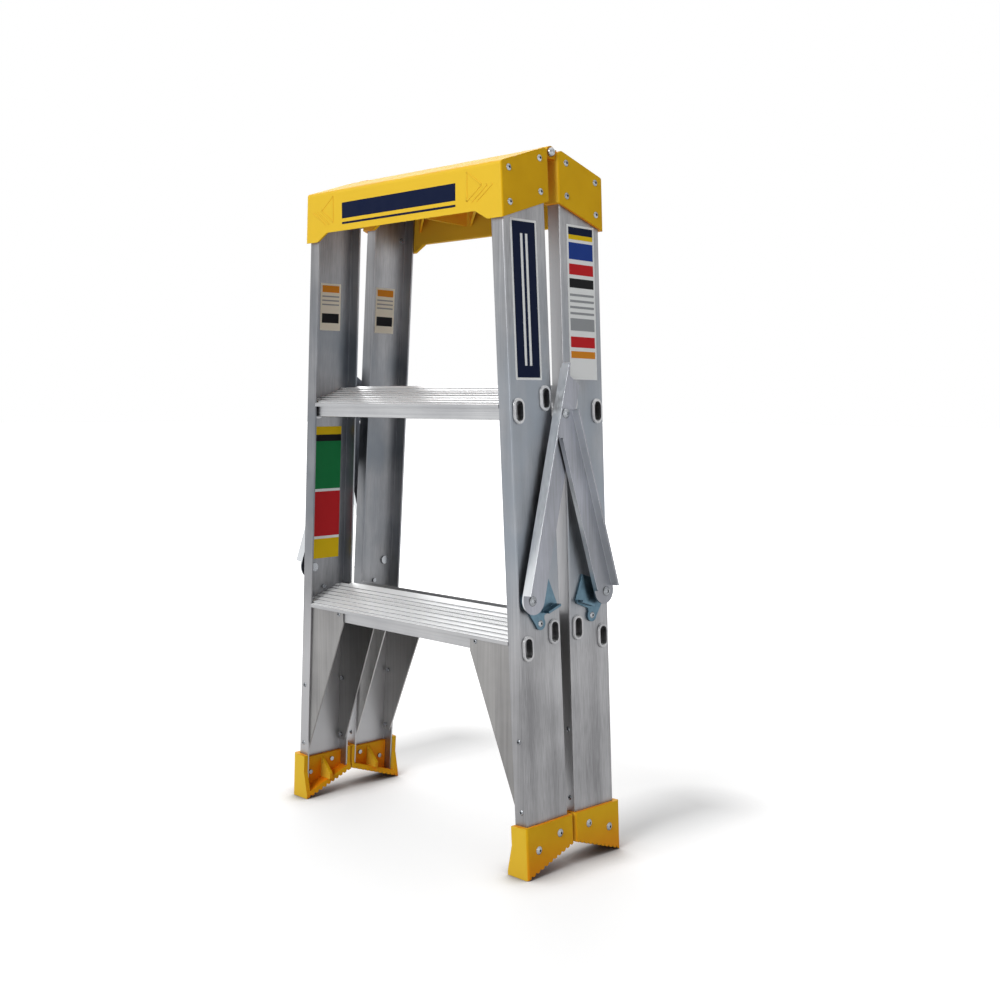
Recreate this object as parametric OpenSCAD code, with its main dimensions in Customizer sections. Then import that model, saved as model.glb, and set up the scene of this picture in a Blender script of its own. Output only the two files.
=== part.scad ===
// Double-sided aluminium trestle ladder, shown folded and standing on its feet.
// Front half at -Y, rear half at +Y, right side at +X. Millimetres.

/* [Overall] */
// Height of the hinge axis above the floor with the ladder folded
hinge_z = 923; // [890:1:980]
// Height from one tread to the next
tread_pitch = 300; // [280:1:310]
// Angle that each half swings out when the ladder is opened
fold_angle = 18.5; // [16:0.5:20]
// Lean of each half towards the other when folded
closed_lean = 0.5; // [0.3:0.1:0.6]
// Half width over the stile webs at floor level
base_half_w = 247; // [230:1:270]
// Inward lean of the stiles
stile_lean = 3.25; // [2:0.25:4]

/* [Stile] */
// Depth of the stile channel, front to back
stile_depth = 76; // [74:1:84]
// Width of the channel flanges
flange_w = 21; // [19:0.5:28]
// Wall of the channel
stile_wall = 2.5; // [2:0.1:3]
// Outside corner radius of the channel
stile_corner_r = 2.5; // [2:0.5:4]
// Distance from the hinge axis to the nearer flange
stile_gap = 14.6; // [14:0.1:18]

/* [Tread] */
// Thickness of the tread plate
tread_t = 3; // [2.5:0.1:4]
// Thickness of the nosing lips
nosing_t = 4.5; // [4:0.1:6]
// Reach of the nosing past the flange face
nosing_proud = 0.9; // [0.5:0.1:2]
// Height of the skirts below the tread top
skirt_h = 21; // [18:0.5:26]
// Thickness of the skirts
skirt_t = 2.5; // [2:0.1:3.5]
// Height of the grip ribs on the tread
rib_h = 1.2; // [0.5:0.1:1.5]
// Width of a grip rib
rib_w = 5; // [3:0.5:6]
// Spacing of the grip ribs
rib_pitch = 10; // [8:0.5:12]
// Width of the oval step tubes
tube_w = 16; // [14:0.5:17]
// Height of the oval step tubes
tube_h = 24; // [22:0.5:26]
// Wall of the oval step tubes
tube_wall = 2.25; // [1.5:0.05:3]
// Distance from a flange face to the middle of its step tube
tube_inset = 13.5; // [13:0.1:16]
// Width of the flared tube mouths
mouth_w = 17; // [16.5:0.1:17.2]
// Height of the flared tube mouths
mouth_h = 30; // [28:0.5:31]
// Wall of the flared tube mouths
mouth_wall = 1.9; // [1.2:0.1:2.2]
// Depth of the flared tube mouths inside the web
mouth_depth = 9; // [6:0.5:12]
// Width of the flared collar outside the stile
collar_w = 20; // [19:0.5:23]
// Height of the flared collar
collar_h = 33; // [31:0.5:36]
// Distance that the collar stands proud of the web
collar_t = 2.6; // [2:0.1:2.8]
// Steps of the collar's rolled lip
collar_lip = 0.6; // [0.4:0.1:0.8]

/* [Cap] */
// Wall of the moulded top cap
cap_wall = 4; // [3:0.1:5]
// Height of the cap's end plates, square to its top face
cap_h = 66; // [60:1:75]
// Depth of the hinge axis below the cap's top face
hinge_depth = 8.5; // [8.2:0.1:12]
// Reach of the apron in front of the stile flange
cap_front = 4.9; // [4.6:0.1:8]
// Reach of the cap's back wall behind the stile flange
cap_back = 5.6; // [4.4:0.1:6]
// Gap over the ends of the stiles inside the cap
stile_top_gap = 1; // [0.8:0.1:3]
// Radius of the cap's outer edges
cap_edge_r = 7; // [5:0.5:9]
// Radius of the cap's upright corners
cap_corner_r = 3; // [2:0.5:6]
// Height by which the apron is cut away between its legs
apron_rise = 11; // [6:0.5:16]
// Width of the apron legs at their foot
leg_w = 21; // [15:1:26]
// Width of the slope beside each apron leg
leg_slope = 23; // [15:1:30]
// Height by which the cap's back wall is cut away between its legs
back_rise = 38; // [30:1:42]
// Thickness of the stiffening ribs under the cap
web_rib_t = 3; // [2:0.1:4]
// Depth of the stiffening ribs under the cap
web_rib_h = 34; // [24:1:40]
// Diagonal rib bays under the cap
rib_bays = 3; // [2:1:5]

/* [Hinge] */
// Radius of the hinge rod
rod_r = 4; // [3:0.25:5]
// Radius of the hinge lugs on the caps
lug_r = 8; // [7:0.1:8.2]
// Width of a hinge lug
lug_w = 9; // [7:0.5:12]
// Depth of the outer lug inside the cap's end face
lug_inset = 4; // [3:0.5:12]
// Radius of the domed rod ends
dome_r = 6; // [5.5:0.25:8]

/* [Foot] */
// Wall of the moulded feet
foot_wall = 5; // [4:0.1:6]
// Wall of the foot in front of the stile
foot_front_wall = 7; // [5:0.5:9]
// Height of the feet
foot_h = 67; // [60:1:72]
// Thickness of the sole, square to its face
sole_t = 8; // [6:0.5:10]
// Inward reach of the foot's side walls at the top
foot_reach = 22; // [21:0.5:30]
// Inward reach of the foot at the sole
sole_reach = 31; // [28:1:40]
// Radius of the foot's upright corners
foot_corner_r = 4; // [2:0.5:5]
// Height where the walls start to flare out to the sole
flare_z = 42; // [36:1:48]
// Spacing of the grooves across the sole
groove_pitch = 8.5; // [7:0.5:12]
// Depth of the grooves across the sole
groove_d = 2.6; // [1.5:0.1:3.5]

/* [Gusset] */
// Thickness of the gusset plates
gusset_t = 2; // [1.5:0.1:2.5]
// Reach of a gusset along the tread, from the stile web
gusset_reach = 95; // [80:1:120]
// Height of the gusset's edge at its inner end
gusset_lip = 16; // [14:0.5:20]
// Gap between the nosing and the gusset's top edge
gusset_gap = 2; // [1:0.1:4]
// Height of the gusset's lower end above the floor
gusset_low_z = 76; // [74:1:90]

/* [Spreader] */
// Distance from the front flange face to the spreader pivot
pivot_inset = 17.3; // [17:0.1:20]
// Height of the spreader pivot above the lower tread's nosing
pivot_rise = 53; // [46:1:75]
// Reach of the spreader bracket from its pivot
bracket_w = 50; // [46:0.5:51]
// Clearance between the stop tab and the open arm
tab_gap = 0.9; // [0.6:0.1:2]
// Shortfall of the rear stud from the rear arm, which passes over it part way
stud_gap = 3.7; // [3.5:0.1:5]
// Thickness of the spreader brackets
bracket_t = 3; // [2.5:0.1:3.5]
// Gap from the stile web to the inner spreader arm
arm_off = 6.6; // [6.4:0.1:8]
// Thickness of the arm webs
arm_t = 2; // [1.6:0.1:3]
// Gap between the two arms at their centre joint
joint_gap = 2; // [2:0.1:4]
// Arm edge above the pivot line when the ladder is open
arm_up = 17.5; // [15:0.5:18]
// Arm edge below the pivot line when the ladder is open
arm_low = 21.5; // [19:0.5:22]
// Thickness of the arm flanges
arm_flange_t = 2.5; // [2:0.1:3]
// Height of the arm flanges
arm_flange_h = 12.5; // [8:0.5:13]
// Length of the front arm past the centre joint
arm_tip = 62; // [40:1:66]
// Radius of the pivot pins
pin_r = 4; // [3:0.25:5]
// Radius of the pivot pin heads
pin_head_r = 6.5; // [6:0.25:7.5]
// Radius of the dimple in the pivot pin heads
pin_dimple_r = 2.2; // [1.5:0.1:3]
// Depth of the dimple in the pivot pin heads
pin_dimple_d = 1.5; // [0.8:0.1:2]

/* [Rivets] */
// Radius of the cap rivet heads
cap_rivet_r = 4.5; // [3.5:0.25:6]
// Radius of the foot rivet heads
foot_rivet_r = 5.5; // [4:0.25:7]
// Radius of the gusset rivet heads
gusset_rivet_r = 3.6; // [3:0.1:4.5]
// Radius of all fixed rivet shanks
shank_r = 2.4; // [2:0.1:2.8]
// Wall left round the hollow in the rivet heads and shanks
rivet_wall = 0.8; // [0.5:0.1:1.2]
// Depth of the hollow in the rivet shanks
rivet_bore_depth = 2; // [1:0.1:3]

// Distance from the front flange face to the front cap rivets
cap_rivet_front = 9.5; // [8:0.5:14]
// Distance from the rear flange face to the rear cap rivets
cap_rivet_rear = 10.4; // [8:0.1:14]
// Depth of the upper cap rivets below the cap's top
cap_rivet_top = 11.2; // [11:0.1:16]
// Depth of the lower cap rivets below the cap's top
cap_rivet_low = 51.5; // [40:0.5:54]
// Distance from the front flange face to the front foot rivet
foot_rivet_front = 14.8; // [12:0.1:20]
// Distance from the rear flange face to the rear foot rivet
foot_rivet_rear = 21; // [14:0.5:26]
// Height of the foot rivets above the sole
foot_rivet_rise = 26; // [22:0.5:28]
// Height of the lower flange rivets
flange_rivet_low = 84; // [83:0.5:100]
// Height of the upper flange rivets
flange_rivet_high = 174; // [150:1:200]
// Distance from the web to the flange rivets
flange_rivet_in = 9.5; // [8:0.5:14]
// Distance from the gusset's inner edge to the skirt rivet
skirt_rivet_in = 10; // [8:0.5:14]
// Height of the bracket rivets above the lower tread's top
bracket_rivet_rise = 9.8; // [9:0.1:14]

/* [Hidden] */
$fn = 48;

alu = "#c6c8ca";
bright_alu = "#d8dadc";
yellow = "#f3b61a";
zinc = "#94abbd";
steel = "#cfd2d6";

// Clearances: fixed pieces side by side, rivet shanks in their holes, turning pins, and axial play
fit = 0.2;
hole_play = 0.1;
run_play = 0.06;
axial_play = 0.1;
// Overlap that joins shapes within one solid, and reach of cutting shapes
join = 0.5;
far = 2 * hinge_z;

// Treads, cap tops and soles tilt by this angle in each half's own frame, so they lie level when open
tread_tilt = fold_angle - closed_lean;
y_rear = -stile_gap;
y_front = y_rear - stile_depth;
nosing_y = y_front - nosing_proud;
skirt_front_y = y_front + stile_wall + gusset_t + 2 * fit;
skirt_rear_y = y_rear - stile_wall - gusset_t - 2 * fit;
tread_depth = -nosing_y + y_rear;
tube_ys = [y_front + tube_inset, y_rear - tube_inset];

// Stile web at a height, the tread top along its depth, and heights of lines parallel to the cap top
function web_x(z) = base_half_w - z * tan(stile_lean);
function tread_top(i, y) = i * tread_pitch + (y - nosing_y) * tan(tread_tilt);
function below_cap(drop, y) = hinge_z + (hinge_depth - drop + y * sin(tread_tilt)) / cos(tread_tilt);
function tube_z(i, y) = tread_top(i, y) - tube_h / 2 / cos(tread_tilt);

// The sole's front edge touches the floor when the ladder stands folded
sole_front_y = y_front - fit - foot_front_wall;
sole_rear_y = y_rear + fit + foot_wall;
sole_front_z = hinge_z - (hinge_z + sole_front_y * sin(closed_lean)) / cos(closed_lean);
function above_sole(rise, y) = sole_front_z + (y - sole_front_y) * tan(tread_tilt) + rise / cos(tread_tilt);

// Spreader pivot, first in the half's frame and then as it stands, and the centre joint that makes
// the arms straight at the full fold angle
pivot_ly = y_front + pivot_inset;
pivot_lz = tread_pitch + pivot_rise;
pivot_y = -(pivot_ly * cos(closed_lean) - (pivot_lz - hinge_z) * sin(closed_lean));
pivot_z = hinge_z + pivot_ly * sin(closed_lean) + (pivot_lz - hinge_z) * cos(closed_lean);
pivot_radius = norm([pivot_y, hinge_z - pivot_z]);
pivot_bearing = atan2(pivot_y, hinge_z - pivot_z);
arm_span = pivot_radius * sin(pivot_bearing + fold_angle);
joint_z = pivot_z + sqrt(arm_span * arm_span - pivot_y * pivot_y);
arm_rise = (joint_z - pivot_z) / cos(stile_lean);
arm_len = norm([pivot_y, arm_rise]);
arm_angle = atan2(pivot_y, arm_rise);
outer_arm_off = arm_off + arm_t + joint_gap;
arm_nest = arm_up - arm_flange_t - join;
// Along an arm from its pivot: middle of its round end, start of its flange, and start of its bead
arm_end_z = 2;
arm_flange_z = 3;
arm_bead_z = 8;
// A flat plate that leans with the stile comes this much nearer to a pin head's rim
pin_slant = pin_head_r * tan(stile_lean) + axial_play;
pin_head_h = 3;

// Rise of a rivet head for its radius, and thickness of the tails of rivets and pins
rivet_head_rise = 0.42;
tail_t = 2;

// Rivet places
cap_rivet_ys = [y_front + cap_rivet_front, y_rear - cap_rivet_rear];
cap_rivet_drops = [cap_rivet_top, cap_rivet_low];
foot_rivet_ys = [y_front + foot_rivet_front, y_rear - foot_rivet_rear];
flange_rivet_zs = [flange_rivet_low, flange_rivet_high];
// Skirt rivets close inside the hollow step tubes
skirt_grip = tube_inset - tube_w / 2 + tube_wall - stile_wall;
// Bracket rivet from the spreader pivot, just above the lower step
bracket_rivet_y = 0.374 * bracket_w;
bracket_rivet_z = tread_top(1, pivot_ly + bracket_rivet_y) + bracket_rivet_rise;
bracket_rivet = [bracket_rivet_y, (bracket_rivet_z - pivot_lz) / cos(stile_lean)];

// Inside edges of the cap are nearly sharp, to clear the stile ends, and its ribs stop short of the flanges
inner_edge_r = 1;
web_rib_clear = 4;

// Hinge stack along X at each end
hinge_end_x = web_x(hinge_z) + fit + cap_wall - lug_inset;
washer_t = 1.5;
dome_h = 4.5;
dome_seat = 2;

module half(h) {
  mirror([0, h == "rear" ? 1 : 0, 0])
    translate([0, 0, hinge_z]) rotate([closed_lean, 0, 0]) translate([0, 0, -hinge_z])
      children();
}

module side(s) {
  mirror([s == "left" ? 1 : 0, 0, 0]) children();
}

module both_sides() {
  side("right") children();
  side("left") children();
}

// Frame on the stile web: X out of the web, Z up along the stile
module on_web() {
  translate([base_half_w, 0, 0]) rotate([0, -stile_lean, 0]) children();
}

module at_web(y, z) {
  on_web() translate([0, y, z / cos(stile_lean)]) children();
}

// Flat outline in Y and Z, drawn out along X
module along_x(x0, x1) {
  translate([x0, 0, 0]) rotate([90, 0, 90]) linear_extrude(x1 - x0) children();
}

// Flat outline in X and Z, drawn out along Y
module along_y(y0, y1) {
  translate([0, y1, 0]) rotate([90, 0, 0]) linear_extrude(y1 - y0) children();
}

// Band between two planes parallel to the treads, measured from the hinge axis
module tilted_band(low, high) {
  translate([0, 0, hinge_z]) rotate([tread_tilt, 0, 0])
    translate([-far / 2, -far, low]) cube([far, 2 * far, high - low]);
}

function above_hinge(y, z) = -y * sin(tread_tilt) + (z - hinge_z) * cos(tread_tilt);
sole_level = above_hinge(sole_front_y, sole_front_z);

// All between the two leaning webs, moved out by off
module between_webs(off) {
  along_y(-far, far)
    polygon([
      for (p = [[-1, 0], [1, 0], [1, 1], [-1, 1]])
        [p[0] * (web_x(p[1] * 1.2 * hinge_z) + off), p[1] * 1.2 * hinge_z]
    ]);
}

module obround(w, h) {
  square([w, h - w], center = true);
  for (s = [-1, 1])
    translate([0, s * (h - w) / 2]) circle(w / 2);
}

// Domed head on the plane z = 0
module dome(r, h) {
  ball_r = (r * r + h * h) / (2 * h);
  intersection() {
    translate([0, 0, h - ball_r]) sphere(ball_r);
    cylinder(r = r, h = h);
  }
}

// Blind rivet along Z with its hollow head on z = 0 and its tail below the grip
module rivet(head_r, grip) {
  difference() {
    union() {
      dome(head_r, rivet_head_rise * head_r);
      translate([0, 0, -grip - tail_t / 2]) cylinder(r = shank_r, h = grip + tail_t / 2 + join);
      translate([0, 0, -grip - tail_t]) cylinder(r = shank_r + tail_t / 2, h = tail_t - fit / 2);
    }
    translate([0, 0, -rivet_bore_depth]) cylinder(r = shank_r - rivet_wall, h = rivet_bore_depth + head_r);
  }
}

module rivet_hole() {
  translate([0, 0, -flange_w]) cylinder(r = shank_r + hole_play, h = 2 * flange_w);
}

// Hole for a turning pin along X
module pin_hole(y, z, play) {
  translate([0, y, z]) rotate([0, 90, 0]) cylinder(r = pin_r + play, h = 2 * base_half_w);
}

module at_cap_rivets() {
  for (y = cap_rivet_ys, drop = cap_rivet_drops)
    at_web(y, below_cap(drop, y)) rotate([0, 90, 0]) children();
}

module at_foot_rivets() {
  for (y = foot_rivet_ys)
    at_web(y, above_sole(foot_rivet_rise, y)) rotate([0, 90, 0]) children();
}

// Flange rivets of the front gusset (out = -1) or of the inner gusset (out = 1)
module at_flange_rivets(out) {
  for (z = flange_rivet_zs)
    translate([web_x(z) - flange_rivet_in, out < 0 ? y_front : y_rear, z])
      rotate([-90 * out, 0, 0]) children();
}

function gusset_face_y(out) = out < 0 ? y_front + stile_wall + fit : y_rear - stile_wall - fit;
function gusset_top_z(out) = tread_top(1, gusset_face_y(out)) - nosing_t / cos(tread_tilt) - gusset_gap;

module at_skirt_rivet(out) {
  z = tube_z(1, tube_ys[out < 0 ? 0 : 1]);
  translate([web_x(gusset_top_z(out)) - gusset_reach + skirt_rivet_in, gusset_face_y(out), z])
    rotate([-90 * out, 0, 0]) children();
}

module at_bracket_pivot() {
  at_web(pivot_ly, pivot_lz) children();
}

module at_bracket_rivet() {
  at_bracket_pivot() translate([0, bracket_rivet[0], bracket_rivet[1]]) rotate([0, 90, 0]) children();
}

module tube_prism(i, w, h, x0, x1) {
  for (y = tube_ys)
    translate([0, y, tube_z(i, y)]) along_x(x0, x1) obround(w, h);
}

// Pressed channel of one stile
module stile_section() {
  difference() {
    union() {
      translate([-flange_w, y_front]) square([flange_w - stile_corner_r, stile_depth]);
      translate([-stile_corner_r - join, y_front + stile_corner_r])
        square([stile_corner_r + join, stile_depth - 2 * stile_corner_r]);
      for (y = [y_front + stile_corner_r, y_rear - stile_corner_r])
        translate([-stile_corner_r, y]) circle(stile_corner_r);
    }
    translate([-flange_w - 1, y_front + stile_wall])
      square([flange_w - stile_wall + 1, stile_depth - 2 * stile_wall]);
  }
}

module stile(h, s) {
  color(alu) half(h) side(s) difference() {
    intersection() {
      on_web() translate([0, 0, -hinge_z / 4]) linear_extrude(1.5 * hinge_z) stile_section();
      tilted_band(sole_level + sole_t, hinge_depth - cap_wall - stile_top_gap);
    }
    for (i = [1, 2])
      tube_prism(i, mouth_w + 2 * fit, mouth_h + 2 * fit, 0, 2 * base_half_w);
    at_cap_rivets() rivet_hole();
    at_foot_rivets() rivet_hole();
    at_bracket_rivet() rivet_hole();
    for (out = [-1, 1])
      at_flange_rivets(out) rivet_hole();
    pin_hole(pivot_ly, pivot_lz, hole_play);
  }
}

// Tread outline: depth from the nosing along X, height along Y
module tread_outline() {
  slope = tan(tread_tilt);
  plate = tread_t / cos(tread_tilt);
  lip = nosing_t / cos(tread_tilt);
  front = skirt_front_y - nosing_y;
  rear = skirt_rear_y - nosing_y;
  module strip(a, b, t)
    polygon([[a, a * slope], [b, b * slope], [b, b * slope - t], [a, a * slope - t]]);
  module skirt(a)
    polygon([
      [a, a * slope], [a + skirt_t, (a + skirt_t) * slope],
      [a + skirt_t, a * slope - skirt_h], [a, a * slope - skirt_h]
    ]);
  strip(0, tread_depth, plate);
  strip(0, front + join, lip);
  strip(rear - join, tread_depth, lip);
  skirt(front);
  skirt(rear - skirt_t);
  rotate(tread_tilt)
    for (x = [rib_pitch / 2 : rib_pitch : tread_depth / cos(tread_tilt) - rib_pitch])
      translate([x, -join]) square([rib_w, rib_h + join]);
}

module tread_bar(i) {
  translate([0, nosing_y, i * tread_pitch]) along_x(-base_half_w, base_half_w) tread_outline();
}

// Collars that the step tubes are flared into, outside the webs
module collars(i) {
  both_sides() for (y = tube_ys)
    at_web(y, tube_z(i, y)) {
      along_x(fit / 2, collar_t / 2) obround(collar_w, collar_h);
      along_x(collar_t / 2 - join, collar_t - collar_lip)
        obround(collar_w - collar_lip, collar_h - collar_lip);
      along_x(collar_t / 2, collar_t)
        obround(collar_w - 3 * collar_lip, collar_h - 3 * collar_lip);
    }
}

module step(h, i) {
  color(bright_alu) half(h) difference() {
    union() {
      intersection() {
        tread_bar(i);
        between_webs(-flange_w - fit);
      }
      intersection() {
        tread_bar(i);
        between_webs(-stile_wall - fit);
        translate([-far / 2, skirt_front_y, 0]) cube([far, skirt_rear_y - skirt_front_y, far]);
      }
      intersection() {
        tube_prism(i, tube_w, tube_h, -base_half_w, base_half_w);
        between_webs(-join);
      }
      difference() {
        intersection() {
          tube_prism(i, mouth_w, mouth_h, -base_half_w, base_half_w);
          between_webs(collar_t / 3);
        }
        between_webs(-mouth_depth - mouth_wall);
      }
      collars(i);
    }
    tube_prism(i, tube_w - 2 * tube_wall, tube_h - 2 * tube_wall, -far / 2, far / 2);
    difference() {
      tube_prism(i, mouth_w - 2 * mouth_wall, mouth_h - 2 * mouth_wall, -far / 2, far / 2);
      between_webs(-mouth_depth);
    }
    if (i == 1)
      both_sides() for (out = [-1, 1]) at_skirt_rivet(out) rivet_hole();
  }
}

// Points round an arc
function arc(c, r, a0, a1) = [for (k = [0 : 6]) let(a = a0 + (a1 - a0) * k / 6) c + r * [cos(a), sin(a)]];

// Cap outline in Y and Z inside walls of a thickness, with rounded upper edges, down to a drop
module cap_outline(inset, drop) {
  yf = y_front - cap_front + inset;
  yr = y_rear + cap_back - inset;
  r = inset == 0 ? cap_edge_r : inner_edge_r;
  upright = 90 + tread_tilt;
  polygon(concat(
    [[yf, below_cap(drop, yf)]],
    arc([yf + r, below_cap(inset + r, yf + r)], r, 180, upright),
    arc([yr - r, below_cap(inset + r, yr - r)], r, upright, 0),
    [[yr, below_cap(drop, yr)]]
  ));
}

// Leaning end of the cap with rounded upright edges
module cap_plan(inset) {
  yf = y_front - cap_front + inset;
  yr = y_rear + cap_back - inset;
  r = inset == 0 ? cap_corner_r : inner_edge_r;
  end = fit + cap_wall - inset;
  on_web() translate([0, 0, hinge_z / 2]) linear_extrude(hinge_z)
    polygon(concat(
      [[-far, yf]], arc([end - r, yf + r], r, 270, 360), arc([end - r, yr - r], r, 0, 90), [[-far, yr]]
    ));
}

module cap_block(inset, drop) {
  intersection() {
    along_x(-base_half_w, base_half_w) cap_outline(inset, drop);
    side("right") cap_plan(inset);
    side("left") cap_plan(inset);
  }
}

// Diagonal ribs between the stiles, under the cap's top
module cap_ribs() {
  reach = web_x(hinge_z) - flange_w - web_rib_clear;
  bay = 2 * reach / rib_bays;
  depth = stile_depth + cap_front + cap_back;
  intersection() {
    cap_block(cap_wall / 2, cap_h);
    tilted_band(hinge_depth - cap_wall - web_rib_h, hinge_depth - cap_wall + join);
    translate([-reach, -far, 0]) cube([2 * reach, 2 * far, far]);
    for (k = [0 : rib_bays - 1], turn = [-1, 1])
      translate([-reach + bay * (k + 0.5), (y_front + y_rear) / 2, hinge_z])
        rotate([0, 0, turn * atan2(depth, bay)])
          cube([norm([bay, depth]), web_rib_t, far], center = true);
  }
}

// Hinge lugs: the rear cap holds the outer pair, the front cap the pair just inside it
module cap_lugs(h) {
  x1 = hinge_end_x - (h == "rear" ? 0 : lug_w + 2 * fit);
  both_sides() translate([x1 - lug_w, 0, hinge_z]) {
    rotate([0, 90, 0]) cylinder(r = lug_r, h = lug_w);
    translate([0, y_rear + cap_back - cap_wall / 2, -lug_r])
      cube([lug_w, stile_gap - cap_back + cap_wall / 2, 1.5 * lug_r]);
  }
}

// Opening between the cap's legs, from one depth to another
module cap_cut(y0, y1, rise) {
  foot_x = web_x(hinge_z - cap_h) - leg_w;
  intersection() {
    translate([0, 0, hinge_z]) rotate([tread_tilt, 0, 0])
      translate([0, 0, hinge_depth - cap_h]) along_y(-far, far)
        polygon([
          [-foot_x, -join], [-foot_x + leg_slope, apron_rise], [-foot_x + leg_slope, rise],
          [foot_x - leg_slope, rise], [foot_x - leg_slope, apron_rise], [foot_x, -join]
        ]);
    translate([-far / 2, y0, 0]) cube([far, y1 - y0, far]);
  }
}

module cap(h) {
  color(yellow) half(h) difference() {
    union() {
      difference() {
        cap_block(0, cap_h);
        cap_block(cap_wall, 2 * cap_h);
        cap_cut(-far, far, apron_rise);
        cap_cut((y_front + y_rear) / 2, far, back_rise);
      }
      cap_ribs();
      cap_lugs(h);
    }
    translate([0, 0, hinge_z]) rotate([0, 90, 0])
      cylinder(r = rod_r + run_play, h = far, center = true);
    both_sides() at_cap_rivets() rivet_hole();
  }
}

// Boot round the end of a stile, with a serrated sole
module foot(h, s) {
  end = fit + foot_wall;
  r = foot_corner_r;
  inner = stile_wall + fit;
  groove_from = sole_front_y * cos(tread_tilt) - hinge_z * sin(tread_tilt);
  color(yellow) half(h) side(s) difference() {
    union() {
      difference() {
        intersection() {
          on_web() translate([0, 0, -hinge_z / 4]) linear_extrude(hinge_z) {
            translate([-far, sole_front_y]) square([far + end - r, sole_rear_y - sole_front_y]);
            translate([end - r - join, sole_front_y + r])
              square([r + join, sole_rear_y - sole_front_y - 2 * r]);
            for (y = [sole_front_y + r, sole_rear_y - r])
              translate([end - r, y]) circle(r);
          }
          on_web() along_y(-far, far)
            polygon([
              [-foot_reach, foot_h], [-foot_reach, flare_z], [-sole_reach, sole_t], [-sole_reach, -foot_h],
              [2 * end, -foot_h], [2 * end, foot_h]
            ]);
          tilted_band(sole_level, 0);
        }
        intersection() {
          on_web() translate([-far + fit, y_front - fit, -hinge_z / 4])
            cube([far, stile_depth + 2 * fit, hinge_z]);
          tilted_band(sole_level + sole_t, 0);
        }
      }
      intersection() {
        on_web() union() {
          translate([-inner - foot_wall, y_front + inner, -foot_h])
            cube([foot_wall, stile_depth - 2 * inner, 2 * foot_h - sole_t]);
          along_y((y_front + y_rear - foot_wall) / 2, (y_front + y_rear + foot_wall) / 2)
            polygon([
              [-inner - join, -foot_h], [-inner - join, foot_h - 1.5 * sole_t],
              [-inner - foot_wall, foot_h - 1.5 * sole_t], [-sole_reach, flare_z - sole_t],
              [-sole_reach, -foot_h]
            ]);
        }
        tilted_band(sole_level + sole_t - join, 0);
      }
    }
    translate([0, 0, hinge_z]) rotate([tread_tilt, 0, 0])
      for (k = [1 : floor((sole_rear_y - sole_front_y) / groove_pitch)])
        translate([0, groove_from + k * groove_pitch, sole_level])
          rotate([45, 0, 0])
            translate([0, -groove_d / sqrt(2), -groove_d / sqrt(2)])
              cube([far, groove_d * sqrt(2), groove_d * sqrt(2)]);
    at_foot_rivets() rivet_hole();
  }
}

// Flat triangular brace from the lower tread down the inside of a flange
module gusset(h, out, s) {
  top = gusset_top_z(out);
  face = gusset_face_y(out);
  back = face - out * gusset_t;
  edge = stile_wall + fit;
  color(alu) half(h) side(s) difference() {
    along_y(min(face, back), max(face, back))
      polygon([
        [web_x(top) - gusset_reach, top], [web_x(top) - edge, top],
        [web_x(gusset_low_z) - edge, gusset_low_z],
        [web_x(gusset_low_z) - flange_w + stile_wall, gusset_low_z],
        [web_x(top) - gusset_reach, top - gusset_lip]
      ]);
    at_flange_rivets(out) rivet_hole();
    at_skirt_rivet(out) rivet_hole();
  }
}

// Plated bracket on the stile web: a plate round the pivot with a stop tab under the open arm
module bracket(h, s) {
  plate_r = 0.26 * bracket_w;
  lobe_r = 0.17 * bracket_w;
  tab_from = 0.36 * bracket_w;
  tab_len = 0.48 * bracket_w;
  tab_proud = plate_r;
  color(zinc) half(h) side(s) difference() {
    at_bracket_pivot() {
      along_x(fit / 2, bracket_t) {
        circle(plate_r);
        translate(bracket_rivet) circle(lobe_r);
        polygon([
          [-plate_r, 0], [0, plate_r], bracket_w * [0.72, 0.49], bracket_w * [1, -0.16],
          bracket_w * [0.94, -0.27], bracket_w * [0.52, -0.43],
          bracket_rivet + lobe_r * [0.8, 0.58], bracket_rivet + lobe_r * [-0.58, -0.8]
        ]);
      }
      rotate([tread_tilt, 0, 0])
        translate([bracket_t - join, tab_from, -arm_low - tab_gap - bracket_t])
          cube([tab_proud - bracket_t + join, tab_len, bracket_t]);
    }
    pin_hole(pivot_ly, pivot_lz, hole_play);
    at_bracket_rivet() rivet_hole();
  }
}

// Frame of a spreader arm: origin at its pivot, Z towards the centre joint, X out of the web
module on_arm(h) {
  mirror([0, h == "rear" ? 1 : 0, 0])
    at_web(-pivot_y, pivot_z) rotate([-arm_angle, 0, 0]) children();
}

module arm_end(up) {
  translate([(arm_low - up) / 2, arm_end_z]) circle((arm_low + up) / 2);
}

module front_arm(s) {
  slant = arm_tip / 5;
  color(bright_alu) side(s) difference() {
    on_arm("front") {
      along_x(arm_off, arm_off + arm_t) {
        arm_end(arm_up);
        polygon([
          [-arm_up, arm_end_z], [-arm_up, arm_len + arm_tip - slant / 2],
          [arm_low, arm_len + arm_tip - 1.5 * slant], [arm_low, arm_end_z]
        ]);
      }
      translate([arm_off + arm_t - join, -arm_up, arm_flange_z])
        cube([arm_flange_h + join, arm_flange_t, arm_len + arm_tip - arm_flange_z]);
    }
    pin_hole(-pivot_y, pivot_z, run_play);
    pin_hole(0, joint_z, hole_play);
  }
}

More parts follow.
